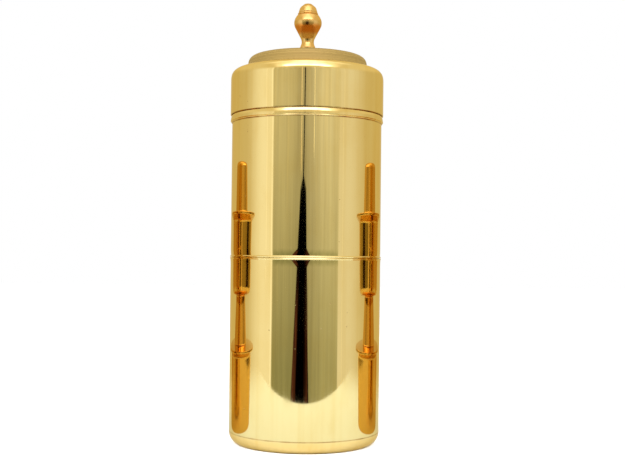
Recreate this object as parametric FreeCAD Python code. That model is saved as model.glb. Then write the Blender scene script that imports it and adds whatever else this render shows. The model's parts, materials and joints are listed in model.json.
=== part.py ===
"""Drip coffee filter in sheet brass: two stacked cylinders, a press and a lid.

Ground coffee lies on the perforated floor of the upper vessel, held down by the press.
Hot water drips through it into the lower vessel. The lid caps the upper vessel.
Millimetres, +Z up, origin at the centre of the base. Every piece is turned about Z.
"""

import FreeCAD, Part
import math
import os

from FreeCAD import Vector

# Sheet and tube
GAUGE = 0.7  # sheet thickness
BODY_R = 44.2  # outside of both vessels
BORE_R = BODY_R - GAUGE  # inside of both vessels
EASE = 0.1  # how far the ends of the tubes are eased
BRAZE_GAP = 0.02  # between round faces that are brazed or screwed together
STACK_GAP = 0.15  # between separate pieces that rest on each other
SIDE_GAP = 0.25  # all round between separate pieces that nest
PAST = 1.0  # how far a cutting tool runs past the faces that it cuts

# Heights of the seams, from the base
BASE_SEAM_Z = 7.0
JOINT_Z = 108.4
LID_EDGE_Z = 192.0
MOUTH_Z = 213.6

# Lower vessel
BASE_TURN_DEG = 50.0  # share of the corner that the large radius turns
BASE_LARGE_R = 8.0
BASE_SMALL_R = 2.5
FOOT_INNER_R = 34.0
BASE_KICK = 1.5  # how far the middle of the base is raised
KICK_RUN = 3.0  # over how wide a ring it rises
KICK_BEND_R = 3.0
BASE_LAP = 4.0  # how far the base's collar reaches up inside the wall
BASE_STEP = 1.5  # how far the collar reaches down inside the pan

# Rims of both vessels at the joint
RIM_BEAD_H = 1.05
RIM_BEAD_OUT = 0.35

# Upper vessel
SPIGOT_DEPTH = 12.0  # how far its sleeve reaches into the lower vessel
SPIGOT_LAP = 8.0  # how far its sleeve reaches up inside the wall
SPIGOT_CORNER_R = 1.5
SPIGOT_STEP = (-1.0, 0.5)  # where it widens, over the joint
SPIGOT_CHAMFER = 0.6
LIP_R = 38.5  # inside of the lip that carries the filter plate
RING_H = 3.7  # the ring that the lid rests on
RING_OUT = 0.95  # its lower edge
RING_TOP_OUT = 0.4  # its upper edge
RING_CROWN = 0.1  # how far its sloping face bulges
RING_EDGE_H = 0.6  # upright edge under that face
RING_FILLET = 0.9  # brazed fillet under the ring
FILLET_OUT = 0.5
PLATE_T = 0.8
PLATE_HOLE_R = 0.55
PLATE_PITCH = 4.4
PLATE_RINGS = (0, 8)  # first and last ring of holes

# Lid
LID_R = 45.2
SHOULDER_Z = 219.1
SHOULDER_R = 5.4
BOSS_FOOT_R = 35.85  # the raised middle of the lid, where it leaves the shoulder
BOSS_BEND_R = 1.2
BOSS_TOP_R = 34.6
BOSS_TOP_Z = 226.5
BOSS_CORNER_R = 4.1
CROWN_BEND = (14.0, 230.6)  # where the crown's two slopes would meet
CROWN_BEND_R = 90.0
SEAT_R = 6.5  # the flat in the middle that the knob sits on
SEAT_BEND_R = 8.0
SEAT_Z = 231.9

# Lid knob and what fastens it
KNOB_TOP_Z = 259.4
KNOB_BODY = [  # radius and height over the seat, from the foot to the groove
    (5.4, 0.0),
    (4.2, 1.9),
    (3.9, 4.3),
    (4.5, 7.3),
    (6.1, 10.2),
    (7.7, 13.1),
    (8.15, 15.8),
    (7.6, 18.2),
    (6.5, 19.8),
]
KNOB_GROOVE = (5.6, 20.6)
KNOB_BEAD = (6.0, 21.4)
KNOB_NECK = (5.3, 22.0)
KNOB_BUD = (4.4, 25.2)
KNOB_TIP_R = 0.9
TAP_DEPTH = 9.0
TAP_SPARE = 1.0  # how far the screw stops short of the tapped hole's end
TIP_CHAMFER = 0.6
SCREW_R = 2.0
SCREW_HEAD_R = 4.0
SCREW_HEAD_H = 2.2
SLOT_W = 1.0
SLOT_DEPTH = 1.0
SCREW_PLAY = 0.2  # all round the screw in the crown and the washer
WASHER_R = 5.6
WASHER_T = 0.8

# Press
PRESS_R = 41.0
PRESS_DISH = 2.6  # height of the disc's middle over its rim
PRESS_RIM_H = 3.0
PRESS_RIM_BEND_R = 1.8
PRESS_RIM_FLAT = 6.0  # width of the flat inside the rim
PRESS_FLAT_BEND_R = 12.0
PRESS_TOP_FLAT = 3.0  # width of the flat round the collar
PRESS_TOP_BEND_R = 20.0
PRESS_HOLE_R = 1.1
PRESS_PITCH = 5.0
PRESS_RINGS = (3, 7)
ROD_R = 2.5
ROD_HEAD_R = 4.2
ROD_HEAD_H = 1.2
ROD_HEAD_FLAT_R = 1.6
ROD_HEAD_MID = (3.5, 0.6)  # radius and share of the head's height, on its round
ROD_CHAMFER = 0.5
BURR_R = 6.0
BURR_T = 0.6
COLLAR_R = 8.0
COLLAR_H = 5.0
COLLAR_FLANGE_H = 1.2
COLLAR_MID = (5.0, 2.2)  # radius and height on its hollow flank
COLLAR_NECK = (4.1, 4.5)
COLLAR_TOP_R = 3.6
PRESS_TOP_Z = 188.0
GRIP_R = 7.0
GRIP_H = 15.0
GRIP_NECK_R = 4.4
GRIP_WAIST_R = 3.7
GRIP_TAP = 8.0
GRIP_TAP_SPARE = 0.5

SPIGOT_Z = JOINT_Z - SPIGOT_DEPTH
PLATE_Z = SPIGOT_Z + GAUGE
PRESS_Z = PLATE_Z + PLATE_T + STACK_GAP
DISC_MID_Z = PRESS_Z + PRESS_DISH


def at(r, z):
    """Point of a section, in the XZ plane."""
    return Vector(r, 0, z)


def rounded_path(corners):
    """Open wire through (r, z, radius) corners: straight runs joined by tangent arcs."""
    points = [at(r, z) for r, z, _ in corners]
    edges = []
    here = points[0]
    for before, corner, after, spec in zip(points, points[1:], points[2:], corners[1:]):
        back = (before - corner).normalize()
        ahead = (after - corner).normalize()
        half = back.getAngle(ahead) / 2
        reach = spec[2] / math.tan(half)
        start = corner + back * reach
        end = corner + ahead * reach
        middle = corner + (back + ahead).normalize() * (spec[2] / math.sin(half) - spec[2])
        if (start - here).Length > 1e-6:
            edges.append(Part.LineSegment(here, start).toShape())
        edges.append(Part.Arc(start, middle, end).toShape())
        here = end
    if (points[-1] - here).Length > 1e-6:
        edges.append(Part.LineSegment(here, points[-1]).toShape())
    return Part.Wire(edges)


def outline(start, *steps):
    """Closed wire. A step is (r, z) for a straight edge, or (middle, end) for an arc."""
    edges = []
    here = at(*start)
    for step in steps:
        if isinstance(step[0], tuple):
            end = at(*step[1])
            edges.append(Part.Arc(here, at(*step[0]), end).toShape())
        else:
            end = at(*step)
            edges.append(Part.LineSegment(here, end).toShape())
        here = end
    edges.append(Part.LineSegment(here, at(*start)).toShape())
    return Part.Wire(edges)


def turned(section):
    """Solid of revolution about Z of a closed wire or a face."""
    face = section if section.ShapeType == "Face" else Part.Face(section)
    solid = Part.Solid(face.revolve(Vector(0, 0, 0), Vector(0, 0, 1), 360))
    return solid if solid.Volume > 0 else solid.reversed()


def sheet(corners, thickness=GAUGE):
    """Turned sheet whose outer line is given going outwards and up, with the metal on its left."""
    return turned(rounded_path(corners).makeOffset2D(thickness, 0, True, True))


def tube(inner_r, outer_r, low_z, high_z):
    """Plain tube about Z."""
    return turned(outline((inner_r, low_z), (outer_r, low_z), (outer_r, high_z), (inner_r, high_z)))


def drilled(solid, hole_r, pitch, rings, low_z, high_z):
    """The solid with rings of upright holes: 6 k holes at k pitches from the middle, and one at 0."""
    drills = []
    for k in range(rings[0], rings[1] + 1):
        count = max(1, 6 * k)
        for i in range(count):
            turn = 2 * math.pi * (i + 0.5 * (k % 2)) / count
            foot = Vector(k * pitch * math.cos(turn), k * pitch * math.sin(turn), low_z)
            drills.append(Part.makeCylinder(hole_r, high_z - low_z, foot))
    return solid.cut(Part.makeCompound(drills)).Solids[0]


def base_pan():
    """Dished base with a rounded corner, and a collar that laps inside the wall."""
    turn = math.radians(BASE_TURN_DEG)
    large_reach = BASE_LARGE_R * math.tan(turn / 2)
    knee_z = BASE_SEAM_Z - large_reach
    knee_to_floor = knee_z / math.cos(turn)
    corner_r = BODY_R - knee_to_floor * math.sin(turn)
    pan = sheet(
        [
            (0, BASE_KICK, 0),
            (FOOT_INNER_R - KICK_RUN, BASE_KICK, KICK_BEND_R),
            (FOOT_INNER_R, 0, KICK_BEND_R),
            (corner_r, 0, BASE_SMALL_R),
            (BODY_R, knee_z, BASE_LARGE_R),
            (BODY_R, BASE_SEAM_Z, 0),
        ]
    )
    collar_r = BORE_R - BRAZE_GAP
    low = BASE_SEAM_Z - BASE_STEP
    collar = tube(collar_r - GAUGE, collar_r, low, BASE_SEAM_Z + BASE_LAP)
    step = tube(collar_r - GAUGE, BORE_R + EASE, low, BASE_SEAM_Z)
    return pan.fuse([collar, step]).removeSplitter().Solids[0]


def lower_wall():
    """Tube from the base seam to the joint, with a small bead round its mouth."""
    top = JOINT_Z - STACK_GAP / 2
    bead = top - RIM_BEAD_H
    middle = (BODY_R + RIM_BEAD_OUT, bead + RIM_BEAD_H / 2)
    return turned(
        outline(
            (BORE_R, BASE_SEAM_Z),
            (BODY_R, BASE_SEAM_Z),
            (BODY_R, bead),
            (middle, (BODY_R - EASE, top)),
            (BORE_R, top),
        )
    )


def upper_wall():
    """Tube from the joint to the mouth, with a small bead round its foot and a rounded mouth."""
    foot = JOINT_Z + STACK_GAP / 2
    bead = foot + RIM_BEAD_H
    middle = (BODY_R + RIM_BEAD_OUT, foot + RIM_BEAD_H / 2)
    return turned(
        outline(
            (BORE_R, foot),
            (BODY_R - EASE, foot),
            (middle, (BODY_R, bead)),
            (BODY_R, MOUTH_Z - GAUGE / 2),
            ((BODY_R - GAUGE / 2, MOUTH_Z), (BORE_R, MOUTH_Z - GAUGE / 2)),
        )
    )


def lid_stop_ring():
    """Ring with a sloping face, brazed round the upper vessel over a fillet of braze."""
    inner = BODY_R + BRAZE_GAP
    top = LID_EDGE_Z - STACK_GAP
    bottom = top - RING_H
    face_low = (BODY_R + RING_OUT, bottom + RING_EDGE_H)
    face_top = (BODY_R + RING_TOP_OUT, top)
    face_mid = ((face_low[0] + face_top[0]) / 2 + RING_CROWN, (face_low[1] + face_top[1]) / 2)
    fillet_mid = (inner + FILLET_OUT * 0.3, bottom - RING_FILLET * 0.4)
    return turned(
        outline(
            (inner, bottom - RING_FILLET),
            (fillet_mid, (inner + FILLET_OUT, bottom)),
            (BODY_R + RING_OUT - EASE, bottom),
            face_low,
            (face_mid, face_top),
            (inner, top),
        )
    )


def spigot_sleeve():
    """Sleeve brazed inside the upper wall. It nests in the lower vessel and carries the plate."""
    lap_r = BORE_R - BRAZE_GAP
    nest_r = BORE_R - SIDE_GAP
    inner_r = nest_r - GAUGE
    corner = SPIGOT_CORNER_R
    arc_mid = corner * (1 - math.sqrt(0.5))
    top = JOINT_Z + SPIGOT_LAP
    return turned(
        outline(
            (LIP_R, SPIGOT_Z),
            (nest_r - corner, SPIGOT_Z),
            ((nest_r - arc_mid, SPIGOT_Z + arc_mid), (nest_r, SPIGOT_Z + corner)),
            (nest_r, JOINT_Z + SPIGOT_STEP[0]),
            (lap_r, JOINT_Z + SPIGOT_STEP[1]),
            (lap_r, top),
            (lap_r - SPIGOT_CHAMFER / 2, top),
            (inner_r, top - SPIGOT_CHAMFER),
            (inner_r, PLATE_Z),
            (LIP_R, PLATE_Z),
        )
    )


def filter_plate():
    """Perforated floor of the upper vessel, brazed on the sleeve's lip."""
    plate_r = BORE_R - SIDE_GAP - GAUGE - BRAZE_GAP
    blank = tube(0, plate_r, PLATE_Z, PLATE_Z + PLATE_T)
    top = PLATE_Z + PLATE_T + PAST
    return drilled(blank, PLATE_HOLE_R, PLATE_PITCH, PLATE_RINGS, PLATE_Z - PAST, top)


def lid_shell():
    """Cap with a straight skirt, a rounded shoulder and a raised, crowned middle."""
    shell = sheet(
        [
            (LID_R, LID_EDGE_Z, 0),
            (LID_R, SHOULDER_Z, SHOULDER_R),
            (BOSS_FOOT_R, SHOULDER_Z, BOSS_BEND_R),
            (BOSS_TOP_R, BOSS_TOP_Z, BOSS_CORNER_R),
            (*CROWN_BEND, CROWN_BEND_R),
            (SEAT_R, SEAT_Z, SEAT_BEND_R),
            (0, SEAT_Z, 0),
        ]
    )
    hole = Part.makeCylinder(SCREW_R + SCREW_PLAY, GAUGE + 2 * PAST, at(0, SEAT_Z - GAUGE - PAST))
    return shell.cut(hole).Solids[0]


def lid_knob():
    """Turned acorn finial: flared foot, waist, round body, groove and a smaller bud on top."""
    def up(spot):
        return at(spot[0], SEAT_Z + spot[1])

    body = Part.BSplineCurve()
    body.interpolate([up(spot) for spot in KNOB_BODY])
    bud_end = at(KNOB_TIP_R, KNOB_TOP_Z)
    top = at(0, KNOB_TOP_Z)
    middle = at(0, SEAT_Z)
    edges = [
        body.toShape(),
        Part.LineSegment(up(KNOB_BODY[-1]), up(KNOB_GROOVE)).toShape(),
        Part.Arc(up(KNOB_GROOVE), up(KNOB_BEAD), up(KNOB_NECK)).toShape(),
        Part.Arc(up(KNOB_NECK), up(KNOB_BUD), bud_end).toShape(),
        Part.LineSegment(bud_end, top).toShape(),
        Part.LineSegment(top, middle).toShape(),
        Part.LineSegment(middle, up(KNOB_BODY[0])).toShape(),
    ]
    tap = Part.makeCylinder(SCREW_R + BRAZE_GAP, TAP_DEPTH, at(0, SEAT_Z))
    return turned(Part.Wire(edges)).cut(tap).Solids[0]


def lid_knob_washer():
    """Flat washer under the crown."""
    top = SEAT_Z - GAUGE
    return tube(SCREW_R + SCREW_PLAY, WASHER_R, top - WASHER_T, top)


def lid_knob_screw():
    """Slotted round-head screw up through the crown into the knob."""
    seat = SEAT_Z - GAUGE - WASHER_T
    shank_top = SEAT_Z + TAP_DEPTH - TAP_SPARE
    screw = turned(
        outline(
            (0, seat - SCREW_HEAD_H),
            (SCREW_HEAD_R * 0.45, seat - SCREW_HEAD_H),
            ((SCREW_HEAD_R * 0.88, seat - SCREW_HEAD_H * 0.66), (SCREW_HEAD_R, seat)),
            (SCREW_R, seat),
            (SCREW_R, shank_top - TIP_CHAMFER),
            (SCREW_R - TIP_CHAMFER, shank_top),
            (0, shank_top),
        )
    )
    corner = Vector(-SLOT_W / 2, -SCREW_HEAD_R - PAST, seat - SCREW_HEAD_H - PAST)
    slot = Part.makeBox(SLOT_W, 2 * (SCREW_HEAD_R + PAST), SLOT_DEPTH + PAST, corner)
    return screw.cut(slot).Solids[0]


def press_disc():
    """Perforated spreader disc, dished up in the middle, with an upturned rim."""
    disc = sheet(
        [
            (0, DISC_MID_Z, 0),
            (COLLAR_R + PRESS_TOP_FLAT, DISC_MID_Z, PRESS_TOP_BEND_R),
            (PRESS_R - PRESS_RIM_FLAT, PRESS_Z, PRESS_FLAT_BEND_R),
            (PRESS_R, PRESS_Z, PRESS_RIM_BEND_R),
            (PRESS_R, PRESS_Z + PRESS_RIM_H, 0),
        ]
    )
    low = DISC_MID_Z - PAST
    top = DISC_MID_Z + GAUGE + PAST
    disc = disc.cut(Part.makeCylinder(ROD_R + BRAZE_GAP, top - low, at(0, low))).Solids[0]
    return drilled(disc, PRESS_HOLE_R, PRESS_PITCH, PRESS_RINGS, PRESS_Z - PAST, top)


def press_burr():
    """Washer between the disc and the rod's riveted end."""
    return tube(ROD_R + BRAZE_GAP, BURR_R, DISC_MID_Z - BURR_T, DISC_MID_Z)


def press_collar():
    """Turned collar that steadies the rod on the disc."""
    low = DISC_MID_Z + GAUGE
    top = low + COLLAR_H
    bore = ROD_R + BRAZE_GAP
    return turned(
        outline(
            (bore, low),
            (COLLAR_R, low),
            (COLLAR_R, low + COLLAR_FLANGE_H),
            ((COLLAR_MID[0], low + COLLAR_MID[1]), (COLLAR_NECK[0], low + COLLAR_NECK[1])),
            (COLLAR_TOP_R, top),
            (bore, top),
        )
    )


def press_rod():
    """Rod with its lower end riveted over the burr and its upper end in the grip."""
    seat = DISC_MID_Z - BURR_T
    top = PRESS_TOP_Z - GRIP_H + GRIP_TAP - GRIP_TAP_SPARE
    return turned(
        outline(
            (0, seat - ROD_HEAD_H),
            (ROD_HEAD_FLAT_R, seat - ROD_HEAD_H),
            ((ROD_HEAD_MID[0], seat - ROD_HEAD_H * ROD_HEAD_MID[1]), (ROD_HEAD_R, seat)),
            (ROD_R, seat),
            (ROD_R, top - ROD_CHAMFER),
            (ROD_R - ROD_CHAMFER, top),
            (0, top),
        )
    )


def press_grip():
    """Ball grip on the rod's end."""
    low = PRESS_TOP_Z - GRIP_H
    ball_z = PRESS_TOP_Z - GRIP_R
    neck = (GRIP_NECK_R, ball_z - math.sqrt(GRIP_R**2 - GRIP_NECK_R**2))
    grip = turned(
        outline(
            (0, low),
            (GRIP_NECK_R, low),
            ((GRIP_WAIST_R, (low + neck[1]) / 2), neck),
            ((GRIP_R, ball_z), (0, PRESS_TOP_Z)),
        )
    )
    return grip.cut(Part.makeCylinder(ROD_R + BRAZE_GAP, GRIP_TAP, at(0, low))).Solids[0]


PIECES = {
    "base_pan": base_pan,
    "lower_wall": lower_wall,
    "upper_wall": upper_wall,
    "lid_stop_ring": lid_stop_ring,
    "spigot_sleeve": spigot_sleeve,
    "filter_plate": filter_plate,
    "lid_shell": lid_shell,
    "lid_knob": lid_knob,
    "lid_knob_washer": lid_knob_washer,
    "lid_knob_screw": lid_knob_screw,
    "press_disc": press_disc,
    "press_burr": press_burr,
    "press_collar": press_collar,
    "press_rod": press_rod,
    "press_grip": press_grip,
}

os.makedirs("parts", exist_ok=True)
for name, make in PIECES.items():
    piece = make()
    piece.exportStep(f"parts/{name}.step")
    size = piece.optimalBoundingBox()
    print(f"{name}: valid {piece.isValid()}, {len(piece.Solids)} solid, {piece.Volume:.0f} mm3,"
          f" z {size.ZMin:.2f} to {size.ZMax:.2f}, r {size.XMax:.2f}")
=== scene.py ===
"""Looks of the brass drip coffee filter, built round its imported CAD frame.

Outlines are in mm. Everything else is in metres, with +Z up and the viewer on the -Y side.
"""

import json
import math

import bmesh
import bpy
from mathutils import Matrix, Vector


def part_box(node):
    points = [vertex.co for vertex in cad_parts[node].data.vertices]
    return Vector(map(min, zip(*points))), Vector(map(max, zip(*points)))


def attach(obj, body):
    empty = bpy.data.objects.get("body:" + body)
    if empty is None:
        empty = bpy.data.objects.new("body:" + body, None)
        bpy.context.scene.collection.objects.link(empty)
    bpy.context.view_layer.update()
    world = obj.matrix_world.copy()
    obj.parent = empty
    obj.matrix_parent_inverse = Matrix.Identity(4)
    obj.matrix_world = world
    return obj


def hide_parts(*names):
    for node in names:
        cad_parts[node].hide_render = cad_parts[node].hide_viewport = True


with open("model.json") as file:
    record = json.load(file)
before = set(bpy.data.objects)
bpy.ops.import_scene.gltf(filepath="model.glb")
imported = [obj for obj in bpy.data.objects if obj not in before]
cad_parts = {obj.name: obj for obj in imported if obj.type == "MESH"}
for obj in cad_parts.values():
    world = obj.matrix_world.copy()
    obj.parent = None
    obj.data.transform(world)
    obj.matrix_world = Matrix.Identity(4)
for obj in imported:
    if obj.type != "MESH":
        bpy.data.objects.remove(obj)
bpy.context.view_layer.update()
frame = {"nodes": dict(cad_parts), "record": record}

MM = 0.001

# Fineness of outlines and meshes
TURNS = 320  # facets round a piece
ARC_STEP = math.radians(5)  # facets along a rounded corner
ARC_RUN = 0.7  # and on a wide one, their length
QUARTER_STEPS = 4  # facets along the rounding of a cut edge
LONG_RUN = 6.0  # straight runs are divided into lengths of at most this
SUPPORT = 0.35  # and get a ring this close to each end
ON_AXIS = 1e-4  # radii under this are on the axis

# Sizes that pieces share
GAUGE = 0.7  # sheet thickness
BRAZE_GAP = 0.02
SIDE_GAP = 0.25  # all round between pieces that nest
EDGE = 0.12  # rounding of cut edges
FINE_EDGE = 0.1
SOFT_EDGE = 0.3

# Base
KICK = 1.5  # how far its middle is raised
KICK_R = 31.0  # where it falls to the foot
FOOT_R = 34.0
KICK_BEND = 3.0
BASE_SMALL_R = 2.5
BASE_LARGE_R = 8.0
BASE_TURN = math.radians(50)  # share of the corner that the large radius turns
LAP_UP = 4.0  # how far the collar reaches up inside the wall
LAP_DOWN = 1.5  # and down inside the pan

# Joint of the two vessels
BEAD_H = 1.05
BEAD_OUT = 0.35
BEAD_BULGE = 1.08  # share of that at the bead's middle
FLARE = 0.15  # how far the walls lean beside the beads
FLARE_BEND = 50.0

# Sleeve under the upper vessel
LIP_R = 38.5  # inside of the lip that carries the filter plate
SLEEVE_CORNER = 1.5
SLEEVE_STEP = (-1.0, 0.4)  # where it widens, over the joint

RING_OUTLINE = [  # how far outside the wall, height over the ring's foot, and rounding
    (0.02, 0, 0),
    (0.12, 0, 0.05),
    (0.47, 0.35, 0.3),  # fillet of braze
    (0.37, 0.85, 0.08),
    (0.95, 1.0, 0.25),  # upright edge
    (0.95, 1.3, 0.6),
    (0.74, 3.0, 6.0),  # sloping face
    (0.3, 4.6, 0.25),
    (0.02, 4.6, 0),
]
LID_OUTLINE = [  # radius, height over the lid's edge, and rounding
    (45.2, 0, 0),
    (45.2, 21.95, 12.0),  # shoulder
    (44.11, 27.1, 4.9),
    (35.85, 27.1, 1.2),  # raised middle
    (34.6, 34.5, 4.1),
    (14.0, 38.6, 90.0),  # crown
    (6.5, 39.9, 8.0),  # seat of the knob
    (0, 39.9, 0),
]
CROWN_UP = 27.3  # over the lid's edge, where its satin finish starts
KNOB_OUTLINE = [  # radius, height over the seat, and rounding
    (0, 0, 0),
    (4.6, 0, 0.3),  # foot
    (4.6, 1.36, 0.5),
    (3.1, 4.84, 5.0),  # waist
    (9.1, 16.16, 6.1),  # body
    (6.62, 20.3, 0.3),  # groove
    (5.45, 20.75, 0.22),
    (6.35, 21.4, 0.42),  # bead
    (5.5, 22.05, 0.2),
    (5.6, 22.5, 0.5),  # bud
    (4.75, 25.2, 3.0),
    (2.0, 27.5, 1.8),
    (0, 27.5, 0),
]
KNOB_REFLECTION_HEIGHTS = (8.0, 15.5)  # heights over the seat between which a painted reflection of the lid's crown makes its colour deeper
ROD_R = 2.5
ROD_HEAD_H = 1.2
ROD_HEAD_FLAT_R = 3.0
COLLAR_OUTLINE = [  # radius, height over the disc, and rounding
    (ROD_R + BRAZE_GAP, 0, 0),
    (8.0, 0, EDGE),
    (8.0, 1.2, 0.35),  # flange
    (5.0, 1.6, 2.2),  # hollow flank
    (3.9, 4.6, 0.2),
    (3.6, 5.0, 0.2),
    (ROD_R + BRAZE_GAP, 5.0, 0),
]
GRIP_NECK = [  # radius, height over the grip's foot, and rounding
    (0, 0, 0),
    (4.4, 0, 0.3),
    (4.4, 0.9, 0.3),  # ring
    (3.6, 1.5, 0.5),  # waist
]
GRIP_JOIN_R = 4.3  # where the ball starts
BALL_STEPS = 30

# Colours of the metal
BRASS = (0.86, 0.665, 0.275)
WORN = (0.95, 0.90, 0.78)  # what its most worn patches multiply that by
EDGE_TINT = (0.95, 0.83, 0.56)
CAST_BRASS = (0.78, 0.485, 0.155)
# painted reflection: the deeper, oranger tone of the knob's underside where it mirrors the lid's crown
PAINTED_REFLECTION_TONE = (0.66, 0.215, 0.022)
TARNISH = (0.36, 0.19, 0.045)
INNER_SATIN = ((0.80, 0.61, 0.25), (0.95, 0.79, 0.42))  # troughs and crests of its lathe lines
CROWN_SATIN = ((0.19, 0.125, 0.034), (0.37, 0.255, 0.08))

# Relief of the metal
SHEET_WAVES = 0.00006
CAST_WAVES = 0.00004
LINES_DEPTH = 0.0000012
SATIN_DEPTH = 0.000002
PIT_DEPTH = 0.00004

# Camera
CAMERA_AWAY = 0.6217
CAMERA_RIGHT = 0.0040
CAMERA_UP = 0.1106
CAMERA_PITCH = math.radians(1.2)
CAMERA_ROLL = math.radians(0.6)
LENS = 60.4

# Studio, as polished metal sees it: lit sides, and a dim gap in front with a dark core.
# Azimuth is 0 towards the viewer, and rise is the sine of the angle above the horizon.
GAP_HALF = math.radians(50.5)  # half width of the gap
GAP_SOFT = math.radians(1)
CORE_SHADE = math.radians(32)  # the gap darkens from here to its middle
BEHIND_FROM = (math.radians(66), math.radians(106))  # the sides change to the tone behind between these
LIT_LEFT = (1.08, 1.09, 1.07)
LIT_RIGHT = (0.89, 0.88, 0.84)
BEHIND = (0.72, 0.64, 0.42)
DIM_LOW = ((0.33, 0.35, 0.23), (0.45, 0.47, 0.34))  # left and right half of the gap
DIM_HIGH = ((0.71, 0.69, 0.56), (0.86, 0.85, 0.77))
BLACK = (0.0, 0.0, 0.0)
CORE_BROWN = (0.13, 0.045, 0.03)
OVERHEAD = (0.88, 0.79, 0.56)
TOP_LIGHT = (1.45, 1.40, 1.30)
TOP_LIGHT_MIDDLE = ((2.2, 2.0, 2.4), (3.6, 3.4, 4.0))  # over the object, and in front
STRIPES = [  # azimuth and half width in degrees, lowest rise, and colour, of bright upright lines
    (-61.5, 0.9, -0.03, (1.20, 1.22, 1.24)),
    (-52.3, 1.4, -0.5, (1.25, 1.30, 1.38)),
    (-7.2, 0.8, 0.075, (1.05, 0.92, 0.72)),
    (11.6, 0.6, 0.09, (1.30, 1.25, 1.05)),
    (57.5, 0.5, -0.5, (1.05, 1.06, 1.04)),
]
FLOOR_SIZE = 3.0
FLOOR_DROP = 0.00005
FLOOR_TONES = ((0.51, 0.57, 0.66), (0.57, 0.57, 0.56))  # as polished metal sees it, and close to the object, where it is painted with warm bounce light from the brass
TABLE_EDGE = -0.245  # the table ends here, on a bow
TABLE_BOW = 0.45
LIGHT_SIZE = 0.8
LIGHT_AIM = (0, 0, 0.12)
FLAG_BRASS = (0.70, 0.40, 0.085)
FLAG_BACK = 0.015
FLAG_OUTLINE = [  # radius, height and rounding
    (0, 0, 0),
    (46, 0, 3),
    (49, 47, 2),
    (58, 50, 0.8),
    (58, 51.5, 0.4),
    (30, 52.5, 1),
    (23, 84, 1),
    (45, 85, 6),
    (48, 131, 2),
    (59, 134.5, 0.8),
    (59, 136, 0.4),
    (30, 137, 1),
    (27, 169, 3),
    (0, 169, 0),
]


def extent(node):
    """Outer radius, lowest and highest Z of a CAD node, in mm."""
    low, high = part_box(node)
    return high.x / MM, low.z / MM, high.z / MM


# ---------------------------------------------------------------- outlines, (r, z) in mm


def shifted(corners, r=0.0, z=0.0):
    """The corners, moved out by r and up by z."""
    return [(r + out, z + up, bend) for out, up, bend in corners]


def arc(before, corner, after, radius):
    """Points of the tangent arc that rounds a corner."""
    back = (before - corner).normalized()
    ahead = (after - corner).normalized()
    half = back.angle(ahead) / 2
    centre = corner + (back + ahead).normalized() * (radius / math.sin(half))
    start = corner + back * (radius / math.tan(half)) - centre
    turn = math.pi - 2 * half
    steps = max(2, math.ceil(turn / ARC_STEP), math.ceil(radius * turn / ARC_RUN))
    way = 1 if ahead.cross(back) > 0 else -1
    spins = [Matrix.Rotation(way * turn * i / steps, 2) for i in range(steps + 1)]
    return [centre + spin @ start for spin in spins]


def rounded(corners, closed=False):
    """Points along (r, z, radius) corners, with every corner that has a radius rounded."""
    points = [Vector((r, z)) for r, z, _ in corners]
    count = len(points)
    out = []
    for i, (_, _, radius) in enumerate(corners):
        at_end = not closed and i in (0, count - 1)
        if at_end or radius == 0:
            out.append(points[i])
        else:
            out += arc(points[i - 1], points[i], points[(i + 1) % count], radius)
    return out


def supported(points, closed=True):
    """The points, with long straight runs divided and a ring close to each of their ends."""
    out = []
    pairs = zip(points, points[1:] + points[:1] if closed else points[1:])
    for here, there in pairs:
        out.append(here)
        run = there - here
        if run.length < 3 * SUPPORT:
            continue
        inner = run.length - 2 * SUPPORT
        parts = max(1, math.ceil(inner / LONG_RUN))
        for i in range(parts + 1):
            out.append(here + run.normalized() * (SUPPORT + inner * i / parts))
    if not closed:
        out.append(points[-1])
    return out


def inside_of(outside):
    """The inner face of a sheet whose outer face runs with the metal on its left."""
    inside = []
    for before, point, after in zip(outside[:1] + outside, outside, outside[1:] + outside[-1:]):
        way = (after - before).normalized()
        inside.append(point + Vector((-way.y, way.x)) * GAUGE)
    return inside


def cut_end(inside, outside, next_outside, radius):
    """Points round the cut end of a sheet, from its inner to its outer face."""
    inwards = (next_outside - outside).normalized()
    across = (outside - inside).normalized()
    points = []
    for face, side in ((inside, 1), (outside, -1)):
        centre = face + (across * side + inwards) * radius
        quarter = []
        for i in range(QUARTER_STEPS + 1):
            turn = math.pi / 2 * i / QUARTER_STEPS
            quarter.append(centre - (across * side * math.cos(turn) + inwards * math.sin(turn)) * radius)
        points += quarter[::side]
    return points


# ---------------------------------------------------------------- meshes


def lathe(name, loop, turns=TURNS):
    """Mesh turned about Z from an outline that runs anticlockwise in the r-z plane."""
    bm = bmesh.new()
    angles = [2 * math.pi * i / turns for i in range(turns)]
    spins = [Vector((math.cos(angle), math.sin(angle), 0)) for angle in angles]
    rings = []
    for r, z in loop:
        middle = Vector((0, 0, z * MM))
        if r < ON_AXIS:
            rings.append([bm.verts.new(middle)])
        else:
            rings.append([bm.verts.new(middle + spin * r * MM) for spin in spins])
    for one, two in zip(rings, rings[1:] + rings[:1]):
        if len(one) == 1 and len(two) == 1:
            continue
        for i in range(turns):
            j = (i + 1) % turns
            ring = [one[i % len(one)], one[j % len(one)], two[j % len(two)], two[i % len(two)]]
            bm.faces.new(dict.fromkeys(ring))
    for face in bm.faces:
        face.smooth = True
    return new_object(name, bm)


def new_object(name, bm):
    """An object in the scene with the mesh built in bm."""
    mesh = bpy.data.meshes.new(name)
    bm.to_mesh(mesh)
    bm.free()
    made = bpy.data.objects.new(name, mesh)
    bpy.context.scene.collection.objects.link(made)
    return made


def piece(node, loop, material, turns=TURNS):
    """A turned piece that stands for a CAD node and rides on its body."""
    made = lathe(node + "_turned", loop, turns)
    made.data.materials.append(material)
    groups = frame["record"]["behaviour"]["bodies"]
    body = next(name for name, members in groups.items() if node in members)
    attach(made, body)
    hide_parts(node)
    return made


# ---------------------------------------------------------------- shader nodes


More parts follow.
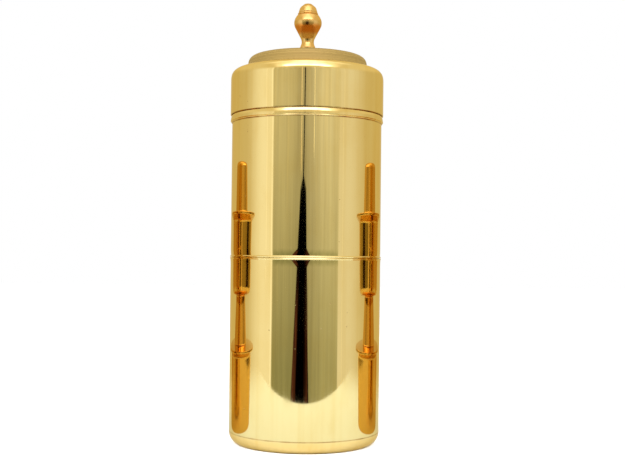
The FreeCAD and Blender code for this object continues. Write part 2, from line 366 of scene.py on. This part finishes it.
def add(tree, kind, values=None, **settings):
    """A new node. Settings are its properties; values are its inputs, numbers or other nodes' outputs."""
    made = tree.nodes.new(kind)
    for key, value in settings.items():
        setattr(made, key, value)
    for key, value in (values or {}).items():
        if isinstance(value, bpy.types.NodeSocket):
            tree.links.new(value, made.inputs[key])
        else:
            made.inputs[key].default_value = value
    return made


def calc(tree, operation, one, two=0.0):
    """Output of a Math node."""
    return add(tree, "ShaderNodeMath", {0: one, 1: two}, operation=operation).outputs[0]


def total(tree, *values):
    """Sum of the values."""
    out = values[0]
    for value in values[1:]:
        out = calc(tree, "ADD", out, value)
    return out


def product(tree, *values):
    """Product of the values."""
    out = values[0]
    for value in values[1:]:
        out = calc(tree, "MULTIPLY", out, value)
    return out


def distance(tree, value, centre):
    """How far the value is from the centre, either way."""
    return calc(tree, "ABSOLUTE", calc(tree, "SUBTRACT", value, centre))


def step(tree, value, low, high, to_low=0.0, to_high=1.0):
    """Output of a smooth step from low to high."""
    values = {"Value": value, "From Min": low, "From Max": high, "To Min": to_low, "To Max": to_high}
    return add(tree, "ShaderNodeMapRange", values, interpolation_type="SMOOTHSTEP").outputs["Result"]


def ramp(tree, value, low, high, to_low=0.0, to_high=1.0):
    """Output of a straight ramp from low to high."""
    values = {"Value": value, "From Min": low, "From Max": high, "To Min": to_low, "To Max": to_high}
    return add(tree, "ShaderNodeMapRange", values).outputs["Result"]


def blend(tree, share, one, two, how="MIX"):
    """Output of a colour mix."""
    colours = [c if isinstance(c, bpy.types.NodeSocket) else (*c, 1.0) for c in (one, two)]
    values = {0: share, 6: colours[0], 7: colours[1]}
    return add(tree, "ShaderNodeMix", values, data_type="RGBA", blend_type=how).outputs[2]


def split(tree, vector):
    """X, Y and Z of a vector."""
    return add(tree, "ShaderNodeSeparateXYZ", {0: vector}).outputs


def join(tree, x=0.0, y=0.0, z=0.0):
    """Vector with these parts."""
    return add(tree, "ShaderNodeCombineXYZ", {0: x, 1: y, 2: z}).outputs[0]


def noise(tree, place, scale, stretch=(1, 1, 1), detail=3.0, rough=0.5):
    """Output of a noise texture, with its grain stretched along the small axes of stretch."""
    mapped = add(tree, "ShaderNodeMapping", {"Vector": place, "Scale": stretch}).outputs[0]
    values = {"Vector": mapped, "Scale": scale, "Detail": detail, "Roughness": rough}
    return add(tree, "ShaderNodeTexNoise", values).outputs["Fac"]


# ---------------------------------------------------------------- brass


def new_metal(name):
    """An empty metal, with its node tree and shader."""
    made = bpy.data.materials.new(name)
    made.use_nodes = True
    shader = made.node_tree.nodes["Principled BSDF"]
    shader.inputs["Metallic"].default_value = 1.0
    shader.inputs["Specular Tint"].default_value = (*EDGE_TINT, 1)
    return made, made.node_tree, shader


def crown_zone(tree, parts, _):
    """1 over the shoulder of the lid."""
    start = (lid_low + CROWN_UP) * MM
    return step(tree, parts[2], start - 0.0003, start + 0.0003)


def inner_zone(tree, parts, radius):
    """1 inside the vessels, on the faces that look at the axis or up."""
    wall = (bore_r + 0.3) * MM
    normal = add(tree, "ShaderNodeTexCoord").outputs["Normal"]
    outward = join(tree, parts[0], parts[1], product(tree, radius, -1.0))
    facing = add(tree, "ShaderNodeVectorMath", {0: normal, 1: outward}, operation="DOT_PRODUCT")
    turned_in = calc(tree, "LESS_THAN", facing.outputs["Value"], 0.0)
    return product(tree, step(tree, radius, wall, wall - 0.0002), turned_in)


def scattered_pits(tree, place):
    """1 in the middle of a few small cells."""
    cells = add(tree, "ShaderNodeTexVoronoi", {"Vector": place, "Scale": 210.0})
    rare = add(tree, "ShaderNodeSeparateColor", {0: cells.outputs["Color"]}).outputs[0]
    return product(tree, step(tree, cells.outputs["Distance"], 0.10, 0.04), step(tree, rare, 0.90, 0.93))


def worn_colour(tree, colour, clouds, streaks, smears):
    """The colour, a little duller and warmer in patches."""
    tone = total(
        tree,
        step(tree, clouds, 0.40, 0.70, 0.0, 0.5),
        step(tree, streaks, 0.42, 0.70, 0.0, 0.5),
        step(tree, smears, 0.5, 0.75, 0.0, 0.3),
    )
    return blend(tree, tone, colour, tuple(c * k for c, k in zip(colour, WORN)))


def tarnished(tree, paint, height, seam, smears):
    """The paint, with uneven tarnish in a thin line at the height of a seam."""
    line = step(tree, distance(tree, height, seam), 0.0006, 0.0001)
    uneven = step(tree, smears, 0.25, 0.75, 0.25, 0.8)
    return blend(tree, product(tree, line, uneven), paint, TARNISH)


def with_painted_reflection(tree, paint, height, low, high):
    """The paint, deeper and oranger in colour between two heights: a painted reflection of the lid's crown
    on the underside of the knob's body.
    """
    ease = (high - low) / 3
    band = product(tree, step(tree, height, low, low + ease), step(tree, height, high, high - ease))
    return blend(tree, product(tree, band, 0.95), paint, PAINTED_REFLECTION_TONE)


def brass(name, colour, rough, lines="upright", waves=0.0, satin=None, seams=(), painted_reflection_span=None):
    """Worn, hand-polished brass.

    rough is the roughness where it is best polished. lines says how the buffing runs, and waves is
    how uneven the sheet is. satin is a function that says where the metal is only satin, with
    round lathe lines, and the two colours of those lines. Tarnish gathers at the heights in seams.
    Between the two heights in deep the colour is deeper and oranger, a painted reflection of the lid's
    crown.
    """
    made, tree, shader = new_metal(name)
    place = add(tree, "ShaderNodeTexCoord").outputs["Object"]
    parts = split(tree, place)
    level = join(tree, parts[0], parts[1])
    radius = add(tree, "ShaderNodeVectorMath", {0: level}, operation="LENGTH").outputs["Value"]

    upright = noise(tree, place, 1500.0, (1, 1, 0.012), 2.0)  # fine buffing lines along Z
    streaks = noise(tree, place, 260.0, (1, 1, 0.02), 2.0)  # and broad ones
    turned = noise(tree, join(tree, radius, parts[2]), 1000.0, rough=0.7)  # round lathe lines
    clouds = noise(tree, place, 45.0, (1, 1, 0.6), 4.0, 0.6)  # patches about 20 mm wide
    smears = noise(tree, place, 120.0, (1, 1, 0.35))  # patches about 8 mm wide
    pits = scattered_pits(tree, place)
    grain = upright if lines == "upright" else turned

    paint = worn_colour(tree, colour, clouds, streaks, smears)
    paint = blend(tree, product(tree, pits, 0.6), paint, TARNISH)
    for seam in seams:
        paint = tarnished(tree, paint, parts[2], seam, smears)
    # painted reflection of the lid's crown, as a deeper band of colour between two heights
    if painted_reflection_span is not None:
        paint = with_painted_reflection(tree, paint, parts[2], *painted_reflection_span)
    gloss = total(
        tree,
        step(tree, smears, 0.45, 0.85, rough, rough + 0.05),
        step(tree, grain, 0.5, 0.8, 0.0, 0.03),
        product(tree, pits, 0.3),
    )
    relief = total(tree, product(tree, grain, LINES_DEPTH), product(tree, pits, -PIT_DEPTH))
    if waves:
        hollows = noise(tree, place, 38.0, (1, 1, 0.45), 1.0)
        ripples = noise(tree, place, 170.0, (1, 1, 0.2), 2.0)
        relief = total(tree, relief, product(tree, hollows, waves), product(tree, ripples, waves * 0.07))
    if satin is not None:
        zone_of, (trough, crest) = satin
        zone = zone_of(tree, parts, radius)
        paint = blend(tree, zone, paint, blend(tree, ramp(tree, turned, 0.3, 0.7), trough, crest))
        gloss = total(tree, gloss, product(tree, zone, 0.45))
        relief = total(tree, relief, product(tree, turned, zone, SATIN_DEPTH))
        tree.links.new(step(tree, zone, 0.0, 1.0, 1.0, 0.5), shader.inputs["Metallic"])

    bump = add(tree, "ShaderNodeBump", {"Height": relief, "Strength": 1.0, "Distance": 1.0})
    tree.links.new(paint, shader.inputs["Base Color"])
    tree.links.new(gloss, shader.inputs["Roughness"])
    tree.links.new(bump.outputs[0], shader.inputs["Normal"])
    return made


# ---------------------------------------------------------------- the pieces


body_r, _, _ = extent("base_pan")
bore_r = body_r - GAUGE
_, seam_z, rim_z = extent("lower_wall")
_, foot_z, mouth_z = extent("upper_wall")
_, ring_low, ring_top = extent("lid_stop_ring")
_, lid_low, seat_z = extent("lid_shell")


def make_base_pan():
    """Dished base with its collar inside the wall."""
    knee = seam_z - BASE_LARGE_R * math.tan(BASE_TURN / 2)
    pan = rounded(
        [
            (0, KICK, 0),
            (KICK_R, KICK, KICK_BEND),
            (FOOT_R, 0, KICK_BEND),
            (body_r - knee * math.tan(BASE_TURN), 0, BASE_SMALL_R),
            (body_r, knee, BASE_LARGE_R),
            (body_r, seam_z, 0),
        ]
    )
    lap_r = bore_r - BRAZE_GAP
    collar = rounded(
        [
            (body_r, seam_z, 0),
            (lap_r, seam_z, FINE_EDGE),
            (lap_r, seam_z + LAP_UP, FINE_EDGE),
            (lap_r - GAUGE, seam_z + LAP_UP, SOFT_EDGE),
            (lap_r - GAUGE, seam_z - LAP_DOWN, 0),
        ]
    )
    floor = [point for point in inside_of(pan) if point.y < seam_z - LAP_DOWN - FINE_EDGE]
    return supported(pan[:-1] + collar + floor[::-1], closed=False)


def bead(edge, way):
    """Corners of a wall's bead from its edge at the joint, up (way 1) or down (way -1)."""
    return [
        (body_r + BEAD_OUT / 2, edge, 0.06),  # nearly sharp at the gap
        (body_r + BEAD_OUT * BEAD_BULGE, edge + way * BEAD_H / 2, 0.3),
        (body_r - way * FLARE, edge + way * BEAD_H, 0.2),
        (body_r, edge + way * BEAD_H * 3, FLARE_BEND),
    ]


def make_lower_wall():
    """Tube that flares a little to a bead round its mouth."""
    corners = [(bore_r, seam_z, EDGE), (body_r, seam_z, EDGE)]
    corners += bead(rim_z, -1)[::-1] + [(bore_r, rim_z, 0.25)]
    return supported(rounded(corners, closed=True))


def make_upper_wall():
    """Tube with a bead round its foot, drawn in a little over it, and a rounded mouth."""
    lip = GAUGE / 2 - 0.01
    corners = [(bore_r, foot_z, EDGE)] + bead(foot_z, 1)
    corners += [(body_r, mouth_z, lip), (bore_r, mouth_z, lip)]
    return supported(rounded(corners, closed=True))


def make_ring():
    """Ring with a sloping face over a fillet of braze."""
    return supported(rounded(shifted(RING_OUTLINE, body_r, ring_low), closed=True))


def make_sleeve():
    """Sleeve that nests in the lower vessel, with a lip for the filter plate."""
    lap_r, low, top = extent("spigot_sleeve")
    nest_r = bore_r - SIDE_GAP
    corners = [
        (LIP_R, low, EDGE),
        (nest_r, low, SLEEVE_CORNER),
        (nest_r, foot_z + SLEEVE_STEP[0], SOFT_EDGE),
        (lap_r, foot_z + SLEEVE_STEP[1], SOFT_EDGE),
        (lap_r, top, FINE_EDGE),
        (nest_r - GAUGE, top, SOFT_EDGE),
        (nest_r - GAUGE, low + GAUGE, SOFT_EDGE),
        (LIP_R, low + GAUGE, EDGE),
    ]
    return supported(rounded(corners, closed=True))


def make_lid():
    """Cap with a straight skirt, a rounded shoulder and a raised, crowned middle."""
    outside = rounded(shifted(LID_OUTLINE, z=lid_low))
    inside = inside_of(outside)
    end = cut_end(inside[0], outside[0], outside[1], SOFT_EDGE)
    return supported(inside[:0:-1] + end + outside[1:], closed=False)


def make_knob():
    """Acorn knob: foot, waist, round body, groove, bead and bud."""
    return supported(rounded(shifted(KNOB_OUTLINE, z=seat_z)), closed=False)


def make_rod():
    """Rod with its lower end riveted over the burr."""
    head_r, low, top = extent("press_rod")
    corners = [
        (0, low, 0),
        (ROD_HEAD_FLAT_R, low, ROD_HEAD_H),
        (head_r, low + ROD_HEAD_H - 0.1, 0.2),
        (ROD_R, low + ROD_HEAD_H, FINE_EDGE),
        (ROD_R, top, 0.5),
        (0, top, 0),
    ]
    return supported(rounded(corners), closed=False)


def make_collar():
    """Turned collar over the press's disc."""
    _, low, _ = extent("press_collar")
    return supported(rounded(shifted(COLLAR_OUTLINE, z=low), closed=True))


def make_grip():
    """Ball grip with a neck and a ring."""
    ball_r, low, top = extent("press_grip")
    middle = top - ball_r
    start = -math.acos(GRIP_JOIN_R / ball_r)
    neck = rounded(shifted(GRIP_NECK, z=low) + [(GRIP_JOIN_R, middle + ball_r * math.sin(start), 0)])
    turns = [start + (math.pi / 2 - start) * i / BALL_STEPS for i in range(1, BALL_STEPS + 1)]
    return neck + [Vector((ball_r * math.cos(turn), middle + ball_r * math.sin(turn))) for turn in turns]


def make_pieces():
    """Every turned piece, and the punched ones in their CAD shape with a finish."""
    wall_seams = (seam_z * MM, ring_low * MM)
    ring_seams = (ring_low * MM, ring_top * MM)
    # heights on the knob that get the painted reflection of the lid's crown
    reflection_heights_on_knob = [(seat_z + height) * MM for height in KNOB_REFLECTION_HEIGHTS]
    inner = (inner_zone, INNER_SATIN)
    crown = (crown_zone, CROWN_SATIN)
    wall = brass("wall_brass", BRASS, 0.035, waves=SHEET_WAVES, satin=inner, seams=wall_seams)
    lid = brass("lid_brass", BRASS, 0.035, waves=SHEET_WAVES, satin=crown, seams=(lid_low * MM,))
    ring = brass("ring_brass", BRASS, 0.07, lines="round", seams=ring_seams)
    cast = brass("cast_brass", CAST_BRASS, 0.2, lines="round", waves=CAST_WAVES)
    # the underside of the knob's body is painted with a deeper reflection of the crown
    knob = brass("knob_brass", CAST_BRASS, 0.2, lines="round", waves=CAST_WAVES, painted_reflection_span=reflection_heights_on_knob)
    plate = brass("plate_brass", BRASS, 0.2, lines="round")
    rod = brass("rod_brass", BRASS, 0.08)

    piece("base_pan", make_base_pan(), wall)
    piece("lower_wall", make_lower_wall(), wall)
    piece("upper_wall", make_upper_wall(), wall)
    piece("lid_stop_ring", make_ring(), ring)
    piece("spigot_sleeve", make_sleeve(), wall)
    piece("lid_shell", make_lid(), lid)
    piece("lid_knob", make_knob(), knob, turns=160)
    piece("press_rod", make_rod(), rod, turns=96)
    piece("press_collar", make_collar(), cast, turns=128)
    piece("press_grip", make_grip(), cast, turns=128)
    for name in ("filter_plate", "press_disc", "press_burr", "lid_knob_washer", "lid_knob_screw"):
        node = frame["nodes"][name]
        node.data.materials.clear()
        node.data.materials.append(plate)


# ---------------------------------------------------------------- studio


def lit_and_dim(tree, azimuth, rise, bands):
    """Colour of the lit sides and of the dim gap between them."""
    aside = calc(tree, "ABSOLUTE", azimuth)
    right = step(tree, azimuth, -0.05, 0.05)
    lit = blend(tree, right, LIT_LEFT, LIT_RIGHT)
    sides = blend(tree, step(tree, aside, *BEHIND_FROM), lit, BEHIND)
    low = blend(tree, right, *DIM_LOW)
    high = blend(tree, right, *DIM_HIGH)
    dim = blend(tree, ramp(tree, rise, -0.11, 0.15), low, high)
    dim = blend(tree, step(tree, aside, CORE_SHADE, 0.0, 0.0, 0.3), dim, BLACK)
    dim = blend(tree, 1.0, dim, bands, "MULTIPLY")
    return blend(tree, step(tree, aside, GAP_HALF + GAP_SOFT, GAP_HALF - GAP_SOFT), sides, dim)


def add_stripe(tree, tone, azimuth, rise, turn, half, low, colour):
    """The tone with one bright upright line."""
    off = distance(tree, azimuth, math.radians(turn))
    line = step(tree, off, math.radians(half), math.radians(half / 3))
    line = product(tree, line, step(tree, rise, low, low + 0.01))
    return blend(tree, line, tone, colour)


def add_core(tree, tone, azimuth, rise, bands):
    """The tone with the gap's dark core: a line at the top, wider and brown at its sides lower down."""
    line = ramp(tree, rise, 0.074, 0.062, 0.012, 0.075)
    width = total(tree, line, ramp(tree, rise, 0.06, -0.155, 0.0, 0.17))
    aslant = ramp(tree, rise, 0.16, -0.13, 0.045, 0.115)
    off = calc(tree, "ABSOLUTE", total(tree, azimuth, aslant))
    core = step(tree, calc(tree, "SUBTRACT", off, width), 0.008, -0.008)
    outwards = calc(tree, "SUBTRACT", off, product(tree, width, 0.45))
    brown = product(
        tree,
        step(tree, outwards, 0.0, 0.03),
        step(tree, bands, 1.08, 0.92),
        step(tree, rise, 0.0, -0.08),
    )
    return blend(tree, core, tone, blend(tree, brown, BLACK, CORE_BROWN))


def add_top_light(tree, tone, parts):
    """The tone with a plain ceiling, and a long light overhead that widens towards the viewer."""
    rise = parts[2]
    across = calc(tree, "ABSOLUTE", calc(tree, "DIVIDE", parts[0], rise))
    ahead = calc(tree, "DIVIDE", product(tree, parts[1], -1.0), rise)
    tone = blend(tree, step(tree, rise, 0.25, 0.45), tone, OVERHEAD)
    reach = product(
        tree,
        step(tree, ahead, 1.95, 1.6),
        step(tree, ahead, -0.35, -0.1),
        calc(tree, "GREATER_THAN", rise, 0.0),
    )
    past = calc(tree, "SUBTRACT", across, ramp(tree, ahead, 0.3, 1.4, 0.15, 1.1))
    tone = blend(tree, product(tree, reach, step(tree, past, 0.8, 0.1)), tone, TOP_LIGHT)
    middle = blend(tree, step(tree, ahead, 0.9, 1.3), *TOP_LIGHT_MIDDLE)
    return blend(tree, product(tree, reach, step(tree, past, 0.15, -0.1)), tone, middle)


def make_world():
    """Studio that is white to the camera and the floor, and has light and dark parts for polished metal."""
    world = bpy.data.worlds.new("studio")
    bpy.context.scene.world = world
    world.use_nodes = True
    tree = world.node_tree
    tree.nodes.clear()
    parts = split(tree, add(tree, "ShaderNodeTexCoord").outputs["Generated"])
    rise = parts[2]
    azimuth = calc(tree, "ARCTAN2", parts[0], product(tree, parts[1], -1.0))
    spot = join(tree, azimuth, product(tree, rise, 0.4))
    bands = ramp(tree, noise(tree, spot, 13.0, detail=4.0, rough=0.6), 0.3, 0.7, 0.88, 1.1)

    tone = lit_and_dim(tree, azimuth, rise, bands)
    for stripe in STRIPES:
        tone = add_stripe(tree, tone, azimuth, rise, *stripe)
    tone = add_core(tree, tone, azimuth, rise, bands)
    tone = add_top_light(tree, tone, parts)

    seen = add(tree, "ShaderNodeBackground", {"Color": tone}).outputs[0]
    plain = add(tree, "ShaderNodeBackground", {"Color": (1, 1, 1, 1)}).outputs[0]
    glossy = add(tree, "ShaderNodeLightPath").outputs["Is Glossy Ray"]
    mix = add(tree, "ShaderNodeMixShader", {0: glossy, 1: plain, 2: seen}).outputs[0]
    out = add(tree, "ShaderNodeOutputWorld")
    tree.links.new(mix, out.inputs["Surface"])


def make_floor():
    """Pale table top. Polished metal sees it end a short way in front of the object."""
    bm = bmesh.new()
    bmesh.ops.create_grid(bm, x_segments=8, y_segments=8, size=FLOOR_SIZE)
    floor = new_object("floor", bm)
    floor.location.z = -FLOOR_DROP
    made = bpy.data.materials.new("floor_white")
    made.use_nodes = True
    tree = made.node_tree
    shader = tree.nodes["Principled BSDF"]
    shader.inputs["Roughness"].default_value = 1.0
    shader.inputs["Specular IOR Level"].default_value = 0.0

    place = add(tree, "ShaderNodeTexCoord").outputs["Object"]
    parts = split(tree, place)
    glossy = add(tree, "ShaderNodeLightPath").outputs["Is Glossy Ray"]
    away = add(tree, "ShaderNodeVectorMath", {0: place}, operation="LENGTH").outputs["Value"]
    # close to the object, the floor that metal sees is painted lighter and warmer, as painted bounce light
    # from the brass
    mirrored = blend(tree, step(tree, away, 0.08, 0.05), *FLOOR_TONES)
    tree.links.new(blend(tree, glossy, (1, 1, 1), mirrored), shader.inputs["Base Color"])

    bow = product(tree, calc(tree, "POWER", parts[0], 2.0), TABLE_BOW)
    gone = calc(tree, "LESS_THAN", calc(tree, "SUBTRACT", parts[1], bow), TABLE_EDGE)
    for fade in (step(tree, distance(tree, parts[0], 0.0), 0.20, 0.5), step(tree, parts[1], 0.0, 0.35)):
        gone = calc(tree, "MAXIMUM", gone, fade)
    clear = add(tree, "ShaderNodeBsdfTransparent").outputs[0]
    values = {0: product(tree, gone, glossy), 1: shader.outputs[0], 2: clear}
    mix = add(tree, "ShaderNodeMixShader", values).outputs[0]
    tree.links.new(mix, tree.nodes["Material Output"].inputs["Surface"])
    floor.data.materials.append(made)


def make_light(name, place, power):
    """Soft square light that faces the object's middle, and that polished metal doesn't mirror."""
    data = bpy.data.lights.new(name, "AREA")
    data.size = LIGHT_SIZE
    data.energy = power
    light = bpy.data.objects.new(name, data)
    bpy.context.scene.collection.objects.link(light)
    light.location = place
    way = Vector(LIGHT_AIM) - Vector(place)
    light.rotation_euler = way.to_track_quat("-Z", "Y").to_euler()
    light.visible_camera = False
    light.visible_glossy = False


def make_camera():
    """Camera in front of the object, level with its joint."""
    data = bpy.data.cameras.new("camera")
    data.lens = LENS
    data.clip_start = 0.01
    camera = bpy.data.objects.new("camera", data)
    bpy.context.scene.collection.objects.link(camera)
    level = Matrix.Rotation(math.pi / 2 + CAMERA_PITCH, 4, "X")
    roll = Matrix.Rotation(CAMERA_ROLL, 4, "Z")
    spot = Matrix.Translation((CAMERA_RIGHT, -CAMERA_AWAY, CAMERA_UP))
    camera.matrix_world = spot @ level @ roll
    bpy.context.scene.camera = camera


def make_flag(name, across):
    """Plain brass-toned flag beside the object, which only polished metal sees."""
    flag = lathe(name, supported(rounded(FLAG_OUTLINE), closed=False), turns=96)
    flag.location = (across, FLAG_BACK, 0)
    made, _, shader = new_metal(name)
    shader.inputs["Base Color"].default_value = (*FLAG_BRASS, 1)
    shader.inputs["Roughness"].default_value = 0.12
    flag.data.materials.append(made)
    flag.visible_camera = False
    flag.visible_diffuse = False
    flag.visible_shadow = False


make_pieces()
make_world()
make_floor()
make_light("left_box", (-0.7, -0.5, 0.7), 14.0)
make_light("right_box", (0.7, -0.5, 0.7), 13.0)
make_flag("left_flag", -0.119)
make_flag("right_flag", 0.121)
make_camera()
bpy.context.scene.view_settings.view_transform = "Standard"
